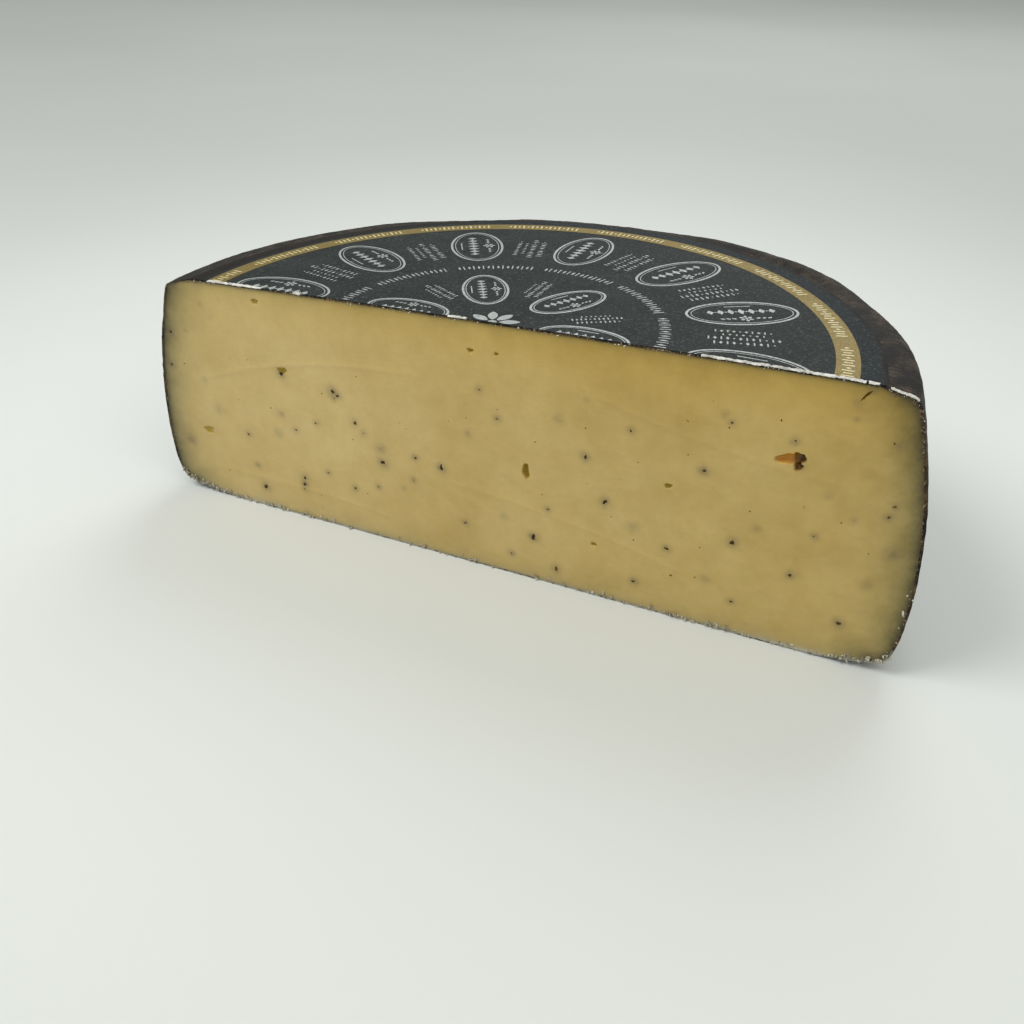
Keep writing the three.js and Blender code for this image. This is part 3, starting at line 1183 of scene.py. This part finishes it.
def ringOfMotifsTree():
    tree, given, result = newTree("ringOfMotifs", {
        "Count": ("Int", 12),
        "Radius": ("Float", 0.05),
        "First Angle": ("Float", 0.0),
        "Step Angle": ("Float", 0.1),
        "Skip Every": ("Int", 1000),
        "Axis Y": ("Float", axisY),
        "Height": ("Float", wheelShape["height"]),
        "Crown": ("Float", wheelShape["crownDrop"] / wheelRadius ** 2),
        "Lift": ("Float", 0.0),
        "Lean": ("Float", leanRate),
        "Material": ("Material", None),
    })
    line = addNode(tree, "GeometryNodeMeshLine", {"Count": given["Count"]})
    points = addNode(tree, "GeometryNodeMeshToPoints", {"Mesh": line.outputs[0]})
    index = addNode(tree, "GeometryNodeInputIndex").outputs[0]
    angle = plus(tree, given["First Angle"], times(tree, index, given["Step Angle"]))
    heading = join(tree, doMath(tree, "COSINE", angle), doMath(tree, "SINE", angle))
    spot = scaled(tree, heading, given["Radius"])
    last = minus(tree, given["Skip Every"], 1.0)
    kept = doMath(tree, "LESS_THAN", doMath(tree, "FLOORED_MODULO", index, given["Skip Every"]), last)
    placed = setPlace(tree, points.outputs[0], Position=spot)
    turned = addNode(tree, "FunctionNodeEulerToRotation", {0: join(tree, 0.0, 0.0, angle)}).outputs[0]
    real = copyOnto(tree, placed, given["Geometry"], Selection=kept, Rotation=turned)
    where = split(tree, addNode(tree, "GeometryNodeInputPosition").outputs[0])
    square = plus(tree, times(tree, where[0], where[0]), times(tree, where[1], where[1]))
    z = minus(tree, given["Height"], times(tree, square, given["Crown"]))
    z = plus(tree, z, given["Lift"])
    z = times(tree, z, plus(tree, times(tree, where[0], given["Lean"]), 1.0))
    onLabel = setPlace(tree, real, Position=join(tree, where[0], plus(tree, where[1], given["Axis Y"]), z))
    return finishTree(tree, result, onLabel, given["Material"])


motifTree = ringOfMotifsTree()

printSizes = {
    "skin": 0.035 * mm,  # thickness of the ink
    "ringTurn": -2.0,  # the printed pattern's turn against the cut, in degrees
}


def clipAndThicken(piece, thickness):
    shape = bmesh.new()
    shape.from_mesh(piece.data)
    everything = shape.verts[:] + shape.edges[:] + shape.faces[:]
    bmesh.ops.bisect_plane(
        shape, geom=everything, plane_co=(0, axisY + 0.05 * mm, 0), plane_no=(0, 1, 0), clear_inner=True
    )
    loose = [v for v in shape.verts if not v.link_faces]
    bmesh.ops.delete(shape, geom=loose, context="VERTS")
    shape.to_mesh(piece.data)
    shape.free()
    solidify = piece.modifiers.new("thicken", "SOLIDIFY")
    solidify.thickness = thickness
    solidify.offset = 1.0
    ready = piece.evaluated_get(bpy.context.evaluated_depsgraph_get())
    mesh = bpy.data.meshes.new_from_object(ready)
    piece.modifiers.clear()
    piece.data = mesh


def printRing(name, shapes, count, radius, first, step, material, lift, skip=1000):
    motif = motifMesh(name + "Motif", shapes)
    motif.materials.append(material)
    piece = newPiece(name, motif)
    runTree(piece, motifTree, {
        "Count": count,
        "Radius": radius * mm,
        "First Angle": math.radians(first + printSizes["ringTurn"]),
        "Step Angle": math.radians(step),
        "Skip Every": skip,
        "Lift": lift,
        "Material": material,
    })
    clipAndThicken(piece, printSizes["skin"])
    settle(piece, "paper_label", smooth=False)


def buildPrint():
    s = labelSizes
    paperTop = s["lift"] + s["thickness"] + 0.012 * mm
    goldTop = paperTop + s["printLift"]
    white = inkMaterial("palePrint", sRgb(204, 207, 204), sRgb(142, 147, 146), 0.55)
    cream = inkMaterial("creamPrint", sRgb(226, 220, 188), sRgb(196, 184, 136), 0.5)
    printRing("label_medallions", medallion(1.0), 12, 73.8, 0, 30, white, paperTop)
    printRing("label_small_medallions", medallion(0.8), 6, 28.0, 0, 60, white, paperTop)
    rows = [(-4.2, 9.0, 2.0), (-1.0, 10.5, 2.0), (1.7, 6.5, 1.1), (4.2, 8.5, 1.5)]
    printRing("label_rows", dashRows(rows, 1.0), 12, 71.0, 15, 30, white, paperTop)
    printRing("label_small_rows", dashRows(rows[:3], 0.75), 6, 30.5, 30, 60, white, paperTop)
    band = [block((0, -0.75), 3.3, 0.42), polygon((0, 0.75), 4, 1.5, 0.45)]
    printRing("label_inner_band", band, 96, 49.5, 0, 3.75, white, paperTop, skip=9)
    rim = [block((0, side), long, 0.6) for side, long in ((-1.7, 3.2), (0.0, 2.2), (1.7, 3.2))]
    rim.append(polygon((0, 3.3), 4, 0.8, 0.5))
    printRing("label_rim_marks", rim, 92, 98.15, 0, 3.92, cream, goldTop, skip=5)
    printRing("label_rosette", rosette((0, 0), 8, 2.0, 8.2, 1.5), 1, 0.0, 0, 0, white, paperTop)


buildPrint()
print("stage: label printed")


# truffle flecks set in the cut face

fleckSizes = {"sink": 0.2, "fineCount": 70, "fineSize": 0.34, "ragged": 0.6}


def fleckTree():
    tree, given, result = newTree("setFlecks", {
        "Ragged": ("Float", 0.4),
        "Material": ("Material", None),
    })
    ball = addNode(tree, "GeometryNodeMeshIcoSphere", {"Radius": 1.0, "Subdivisions": 3})
    turn = addNode(tree, "FunctionNodeEulerToRotation", {0: named(tree, "turn", "FLOAT_VECTOR")}).outputs[0]
    points = addNode(tree, "GeometryNodeMeshToPoints", {"Mesh": given["Geometry"]}).outputs[0]
    size = named(tree, "size", "FLOAT_VECTOR")
    real = copyOnto(tree, points, ball.outputs[0], Rotation=turn, Scale=size)
    where = addNode(tree, "GeometryNodeInputPosition").outputs[0]
    normal = addNode(tree, "GeometryNodeInputNormal").outputs[0]
    lumps = noise(tree, where, 1500.0, 2.0, 0.6)
    push = times(tree, minus(tree, lumps, 0.5), times(tree, given["Ragged"], mm))
    roughened = setPlace(tree, real, Offset=scaled(tree, normal, push))
    return finishTree(tree, result, roughened, given["Material"])


def buildFlecks():
    rng = np.random.default_rng(23)
    rows = [tuple(fleck) for fleck in flecks]
    while len(rows) < len(flecks) + fleckSizes["fineCount"]:
        x, z = rng.uniform(-122, 122), rng.uniform(5, 80)
        wide = fleckSizes["fineSize"] * rng.uniform(0.5, 1.5)
        rows.append((x, z, wide, rng.uniform(1.0, 1.8), rng.uniform(0, 180), rng.uniform(0.2, 1.0)))
    spots = np.array([(x * mm, z * mm) for x, z, *_ in rows])
    back, _, _ = cutRelief(spots)
    points, sizes, turns, tints = [], [], [], []
    for (x, z, wide, stretch, turn, tint), depth in zip(rows, back):
        half = wide * mm / 2
        points.append((x * mm, axisY + depth + half * fleckSizes["sink"], z * mm))
        sizes.append((half * stretch, half * 0.32, half))
        turns.append((0.0, -math.radians(turn), 0.0))
        tints.append(tint)
    mesh = meshFrom("fleckSpots", points)
    setVectors(mesh, "size", sizes)
    setVectors(mesh, "turn", turns)
    setFloats(mesh, "tint", tints)
    piece = newPiece("truffle_flecks", mesh)
    runTree(piece, fleckTree(), {"Ragged": fleckSizes["ragged"], "Material": fleckMaterial()})
    settle(piece, "cheese")


buildFlecks()
print("stage: flecks set")


# what the knife left along the edges of the cut

def crumbTree():
    tree, given, result = newTree("edgeCrumbs", {
        "Spacing": ("Float", 0.0005),
        "Smallest": ("Float", 0.0001),
        "Largest": ("Float", 0.0005),
        "Spread": ("Float", 0.0006),
        "Seed": ("Int", 1),
        "Material": ("Material", None),
    })
    path = addNode(tree, "GeometryNodeMeshToCurve", {"Mesh": given["Geometry"]}).outputs[0]
    spacing = {"Curve": path, "Length": given["Spacing"]}
    spaced = addNode(tree, "GeometryNodeResampleCurve", spacing, mode="LENGTH").outputs[0]
    points = addNode(tree, "GeometryNodeCurveToPoints", {"Curve": spaced}, mode="EVALUATED").outputs[0]

    def chance(seed, kind="FLOAT", low=0.0, high=1.0):
        node = addNode(tree, "FunctionNodeRandomValue", data_type=kind)
        tree.links.new(plus(tree, given["Seed"], seed), node.inputs["Seed"])
        if kind == "FLOAT":
            return node.outputs[1]
        node.inputs[0].default_value, node.inputs[1].default_value = low, high
        return node.outputs[0]

    spots = addNode(tree, "GeometryNodeInputPosition").outputs[0]
    clustered = remap(tree, noise(tree, spots, 150.0, 3.0, 0.7), 0.38, 0.62, 0.1, 1.9)
    kept = doMath(tree, "LESS_THAN", chance(0.0), times(tree, named(tree, "amount"), clustered))
    shift = scaled(tree, chance(7.0, "FLOAT_VECTOR", (-1, -0.35, -1), (1, 0.15, 1)), given["Spread"])
    moved = setPlace(tree, points, Offset=shift)
    spread = minus(tree, given["Largest"], given["Smallest"])
    size = plus(tree, given["Smallest"], times(tree, doMath(tree, "POWER", chance(13.0), 2.2), spread))
    stretch = scaled(tree, chance(19.0, "FLOAT_VECTOR", (0.6, 0.4, 0.4), (2.4, 1.0, 1.0)), size)
    angles = chance(29.0, "FLOAT_VECTOR", (-3, -3, -3), (3, 3, 3))
    turn = addNode(tree, "FunctionNodeEulerToRotation", {0: angles}).outputs[0]
    bit = addNode(tree, "GeometryNodeMeshIcoSphere", {"Radius": 1.0, "Subdivisions": 2}).outputs[0]
    real = copyOnto(tree, moved, bit, Selection=kept, Rotation=turn, Scale=stretch)
    where = addNode(tree, "GeometryNodeInputPosition").outputs[0]
    lumps = minus(tree, noise(tree, where, 2200.0, 2.0, 0.6), 0.5)
    normal = addNode(tree, "GeometryNodeInputNormal").outputs[0]
    rough = setPlace(tree, real, Offset=scaled(tree, normal, times(tree, lumps, given["Largest"])))
    return finishTree(tree, result, rough, given["Material"])


def edgePath(name, inset, amountAt, proud):
    # the cut's outline, moved in from the skin, with how crumbly each stretch is
    outline = wheelOutline(2)
    skin = outline - outwardOf(outline) * inset
    skin[:, 0] = np.maximum(skin[:, 0], 0.0)
    right = [skinPoint(r, z) for r, z in skin]
    left = [skinPoint(-r, z) for r, z in skin]
    loop = right + left[-2:0:-1]
    points = [(x, axisY - proud, z) for x, z in loop]
    edges = [(i, (i + 1) % len(loop)) for i in range(len(loop))]
    mesh = meshFrom(name, points, edges)
    setFloats(mesh, "amount", [amountAt(x / mm, z / mm) for x, z in loop])
    return mesh


def bottomAmount(x, z):
    if z > 34 or (z > 7 and x < 0):
        return 0.0
    if z > 7:
        return 0.10
    return 0.75 if x > 104 or x < -84 else 0.30 if abs(x) > 60 else 0.18


def sideAmount(x, z):
    return 0.0 if z < 4 or abs(x) < 108 else 0.35


def topAmount(x, z):
    return 0.0 if z < 78 else 0.24 if x > 50 or x < -78 else 0.12


def middleAmount(x, z):
    return 0.0 if z < 78 else 0.5 if -94 < x < 78 else 0.3


def buildCrumbs():
    tree = crumbTree()
    brown = crumbMaterial("brownCrumb", sRgb(168, 138, 104), sRgb(84, 58, 36))
    pale = crumbMaterial("dryCrumb", sRgb(194, 188, 170), sRgb(132, 124, 104))
    tan = crumbMaterial("rindCrumb", sRgb(132, 116, 88), sRgb(78, 66, 48))
    white = crumbMaterial("paperFibre", sRgb(228, 227, 222), sRgb(176, 174, 168))
    # name, node, slot, material, crumbliness, seed, then in mm: inset, proud, spacing, small, large, spread
    plans = [
        ("base_crumbs", "cheese", "paste", pale, bottomAmount, 3, (0.9, 0.12, 0.16, 0.08, 0.62, 1.1)),
        ("rind_crumbs", "cheese", "rind", tan, sideAmount, 5, (0.8, 0.10, 0.24, 0.07, 0.28, 0.3)),
        ("cut_crumbs", "cheese", "rind", brown, middleAmount, 15, (0.2, 0.06, 0.26, 0.07, 0.26, 0.3)),
        ("paper_crumbs", "paper_label", "label", white, topAmount, 9, (0.3, 0.08, 0.30, 0.05, 0.22, 0.4)),
    ]
    for name, node, slot, material, amountAt, seed, sizes in plans:
        inset, proud, spacing, small, large, spread = (size * mm for size in sizes)
        piece = newPiece(name, edgePath(name + "Path", inset, amountAt, proud))
        runTree(piece, tree, {
            "Spacing": spacing, "Smallest": small, "Largest": large, "Spread": spread, "Seed": seed,
            "Material": material,
        })
        settle(piece, node)


buildCrumbs()
print("stage: crumbs scattered")


# the torn white edge of the paper, along the cut

tornSizes = {"step": 0.3, "halfWidth": 0.75, "flat": 0.3}

# stretches where the paper tore: start x, end x, strength
tornRuns = [
    (61, 76, 0.45), (74, 103, 0.95), (103.6, 106.2, 0.5), (109.0, 116.2, 0.42), (-101, -80, 0.75),
    (-14, -8, 0.4), (-68, -65, 0.25),
]


def tornTree():
    tree, given, result = newTree("tornEdge", {
        "Half Width": ("Float", 0.0006),
        "Flatness": ("Float", 0.3),
        "Material": ("Material", None),
    })
    path = addNode(tree, "GeometryNodeMeshToCurve", {"Mesh": given["Geometry"]}).outputs[0]
    sized = addNode(tree, "GeometryNodeSetCurveRadius", {"Curve": path, "Radius": named(tree, "width")})
    ring = addNode(tree, "GeometryNodeCurvePrimitiveCircle", {"Resolution": 8, "Radius": given["Half Width"]})
    flat = addNode(tree, "GeometryNodeTransform", {
        "Geometry": ring.outputs[0], "Scale": join(tree, 1.0, given["Flatness"], 1.0),
    })
    tube = addNode(tree, "GeometryNodeCurveToMesh", {
        "Curve": sized.outputs[0], "Profile Curve": flat.outputs[0], "Fill Caps": True,
    })
    where = addNode(tree, "GeometryNodeInputPosition").outputs[0]
    colours = addNode(tree, "ShaderNodeTexNoise", {"Vector": where, "Scale": 1400.0, "Detail": 3.0})
    wisps = doVector(tree, "SUBTRACT", colours.outputs["Color"], (0.5, 0.5, 0.5))
    frayed = setPlace(tree, tube.outputs[0], Offset=scaled(tree, wisps, given["Half Width"]))
    return finishTree(tree, result, frayed, given["Material"])


def surfaceOverCut(x):
    # height of the top surface along the cut, over the label and down the shoulder
    outline = wheelOutline(3)
    top = outline[outline[:, 1] > wheelShape["height"] / 2][::-1]
    radius = abs(x)
    if radius > labelRadius:
        radius = abs(x + wheelShape["topShift"])
    return lean(x, float(np.interp(radius, top[:, 0], top[:, 1])))


def buildTornEdge():
    rng = np.random.default_rng(41)
    points, edges, widths = [], [], []
    for start, end, strength in tornRuns:
        count = int((end - start) / tornSizes["step"])
        first = len(points)
        drift = np.cumsum(rng.normal(0, 0.18, count + 1))
        drift -= np.linspace(drift[0], drift[-1], count + 1)
        for i in range(count + 1):
            t = i / count
            x = (start + (end - start) * t) * mm
            ease = min(1.0, t * 9, (1 - t) * 9) ** 0.5
            wide = strength * ease * (0.55 + 0.32 * abs(drift[i]) + rng.uniform(0, 0.25))
            wide = min(max(wide, 0.08), 1.9)
            sink = 0.10 * mm + wide * tornSizes["halfWidth"] * 0.55 * mm
            points.append((x, axisY - 0.12 * mm + sink, surfaceOverCut(x) + 0.26 * mm))
            widths.append(wide)
        edges += [(i, i + 1) for i in range(first, len(points) - 1)]
    mesh = meshFrom("tornPath", points, edges)
    setFloats(mesh, "width", widths)
    piece = newPiece("torn_paper_edge", mesh)
    runTree(piece, tornTree(), {
        "Half Width": tornSizes["halfWidth"] * mm, "Flatness": tornSizes["flat"],
        "Material": crumbMaterial("tornPaper", sRgb(224, 222, 215), sRgb(160, 156, 146), 0.85),
    })
    settle(piece, "paper_label")


buildTornEdge()
print("stage: edge torn")


# stage, light and camera

stageLook = {
    "floor": sRgb(218, 221, 217),
    "floorCloud": sRgb(212, 215, 210),
    "floorRadius": 9.0,
    # painted shade and light on the floor: how much of the floor's colour is left at each distance from the
    # middle, in metres
    "paintedFalloff": [
        (0.22, 1.0), (0.34, 0.89), (0.46, 0.78), (0.62, 0.71),
        (0.85, 0.69), (1.2, 0.74), (1.7, 0.88), (2.4, 1.0),
    ],
    "skyStrength": 0.52,
    "sky": sRgb(240, 243, 240),
    "keyPower": 13.0,
    "keyPlace": (-0.85, -0.55, 1.25),
    "keySize": 0.8,
    "fillPower": 5.0,
    "fillPlace": (1.0, -0.6, 1.2),
    "fillSize": 1.2,
    "backPower": 11.0,
    "backPlace": (0.0, 1.2, 1.4),
    "backSize": 1.2,
}

cameraPlace = {
    "place": (99.7 * mm, axisY - 226.7 * mm, 189.0 * mm),
    "turn": 22.08,
    "down": 33.91,
    "roll": 1.43,
    "lens": 31.92,
}


def buildFloor():
    bpy.ops.mesh.primitive_circle_add(vertices=96, radius=stageLook["floorRadius"], fill_type="NGON")
    floor = bpy.context.object
    floor.name = "stage_floor"
    material, tree, shader = newMaterial("paleFloor")
    where = place(tree)
    cloudy = noise(tree, where, 2.0, 2.0)
    colour = mix(tree, remap(tree, cloudy, 0.3, 0.7), stageLook["floor"], stageLook["floorCloud"])
    # painted shade and light: the floor darker at middle distances and lighter again far off, in place of
    # shading from the lamps
    reach = stageLook["paintedFalloff"][-1][0]
    away = doMath(tree, "DIVIDE", doVector(tree, "LENGTH", where), reach)
    stops = [(distance / reach, (share, share, share)) for distance, share in stageLook["paintedFalloff"]]
    colour = mix(tree, 1.0, colour, ramp(tree, away, stops, "B_SPLINE"), "MULTIPLY")
    tree.links.new(colour, shader["Base Color"])
    shader["Roughness"].default_value = 0.7
    floor.data.materials.append(material)


def addLamp(name, where, power, size, target=(0.0, 0.0, 0.04)):
    lamp = bpy.data.lights.new(name, "AREA")
    lamp.shape = "DISK"
    lamp.size = size
    lamp.energy = power
    holder = bpy.data.objects.new(name, lamp)
    holder.location = where
    holder.rotation_euler = (Vector(target) - Vector(where)).to_track_quat("-Z", "Y").to_euler()
    bpy.context.scene.collection.objects.link(holder)


def buildLight():
    look = stageLook
    world = bpy.data.worlds.new("studio")
    bpy.context.scene.world = world
    world.use_nodes = True
    sky = world.node_tree.nodes["Background"].inputs
    sky["Color"].default_value = (*look["sky"], 1.0)
    sky["Strength"].default_value = look["skyStrength"]
    addLamp("keyLight", look["keyPlace"], look["keyPower"], look["keySize"])
    addLamp("fillLight", look["fillPlace"], look["fillPower"], look["fillSize"])
    addLamp("backLight", look["backPlace"], look["backPower"], look["backSize"])


def buildCamera():
    camera = bpy.data.cameras.new("camera")
    camera.sensor_width = 36.0
    camera.lens = cameraPlace["lens"]
    camera.clip_start = 0.01
    camera.clip_end = 50.0
    holder = bpy.data.objects.new("camera", camera)
    holder.matrix_world = (
        Matrix.Translation(cameraPlace["place"])
        @ Matrix.Rotation(math.radians(cameraPlace["turn"]), 4, "Z")
        @ Matrix.Rotation(math.radians(90 - cameraPlace["down"]), 4, "X")
        @ Matrix.Rotation(math.radians(cameraPlace["roll"]), 4, "Z")
    )
    bpy.context.scene.collection.objects.link(holder)
    bpy.context.scene.camera = holder


buildFloor()
buildLight()
buildCamera()
bpy.context.scene.view_settings.view_transform = "Standard"
print("stage: lit")
